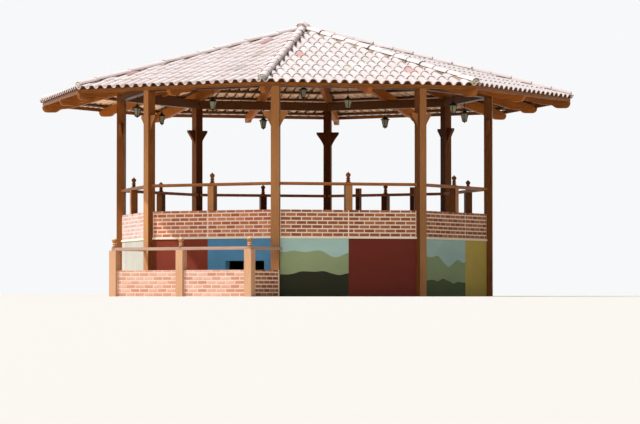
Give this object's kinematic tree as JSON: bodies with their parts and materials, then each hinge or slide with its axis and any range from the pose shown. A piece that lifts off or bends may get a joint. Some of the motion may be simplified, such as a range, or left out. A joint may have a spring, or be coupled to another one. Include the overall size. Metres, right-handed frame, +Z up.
{
  "type": "octagonal bandstand with a barrel-tiled roof",
  "caption": "Open eight-sided bandstand: hollow masonry plinth and deck, brick parapet, timber posts, rails and rafters, low pyramid roof of clay barrel tiles.",
  "frame": {"origin": "centre of the octagon on the ground, under the apex", "axes": "+Z up; the front side between two main posts faces -Y; the side with the stairwell guard faces -X-Y; +X to the right seen from the front"},
  "size_m": [10.6174, 10.6174, 5.8602],
  "materials": {
    "lit_timber": "varnished",
    "dark_timber": "varnished, shaded",
    "brick": "terracotta brick with pale joints",
    "plinth_cream": "painted render",
    "plinth_maroon": "painted render",
    "plinth_blue": "painted render",
    "plinth_ochre": "painted render",
    "deck": "smooth cement",
    "roof_tile": "sun-bleached clay",
    "lantern_metal": "matt black",
    "lantern_glass": "milky"
  },
  "bodies": {
    "root": {"plinth_front": "plinth_maroon", "plinth_front_right": "plinth_ochre", "plinth_right": "plinth_cream", "plinth_back_right": "plinth_cream", "plinth_back": "plinth_cream", "plinth_back_left": "plinth_cream", "plinth_left": "plinth_cream", "plinth_doorway_left": "plinth_maroon", "plinth_doorway_right": "plinth_blue", "plinth_doorway_head": "plinth_blue", "deck_slab": "deck", "parapet_front": "brick", "parapet_front_right": "brick", "parapet_right": "brick", "parapet_back_right": "brick", "parapet_back": "brick", "parapet_back_left": "brick", "parapet_left": "brick", "parapet_front_left": "brick", "main_posts": "lit_timber", "post_brackets": "lit_timber", "short_posts": "lit_timber", "handrail": "lit_timber", "rail_finials": "dark_timber", "ring_beam": "dark_timber", "hip_rafters": "lit_timber", "common_rafters": "lit_timber", "rafter_hub": "dark_timber", "eave_fascia": "lit_timber", "roof_battens": "dark_timber", "roof_slope_front": "roof_tile", "roof_slope_front_right": "roof_tile", "roof_slope_right": "roof_tile", "roof_slope_back_right": "roof_tile", "roof_slope_back": "roof_tile", "roof_slope_back_left": "roof_tile", "roof_slope_left": "roof_tile", "roof_slope_front_left": "roof_tile", "hip_cap_tiles": "roof_tile", "apex_cap": "roof_tile", "guard_wall_front": "brick", "guard_wall_left": "brick", "guard_wall_right": "brick", "guard_newels": "lit_timber", "guard_rails": "lit_timber", "guard_finials": "dark_timber", "lantern_frames": "lantern_metal", "lantern_panes": "lantern_glass"}
  },
  "joints": []
}
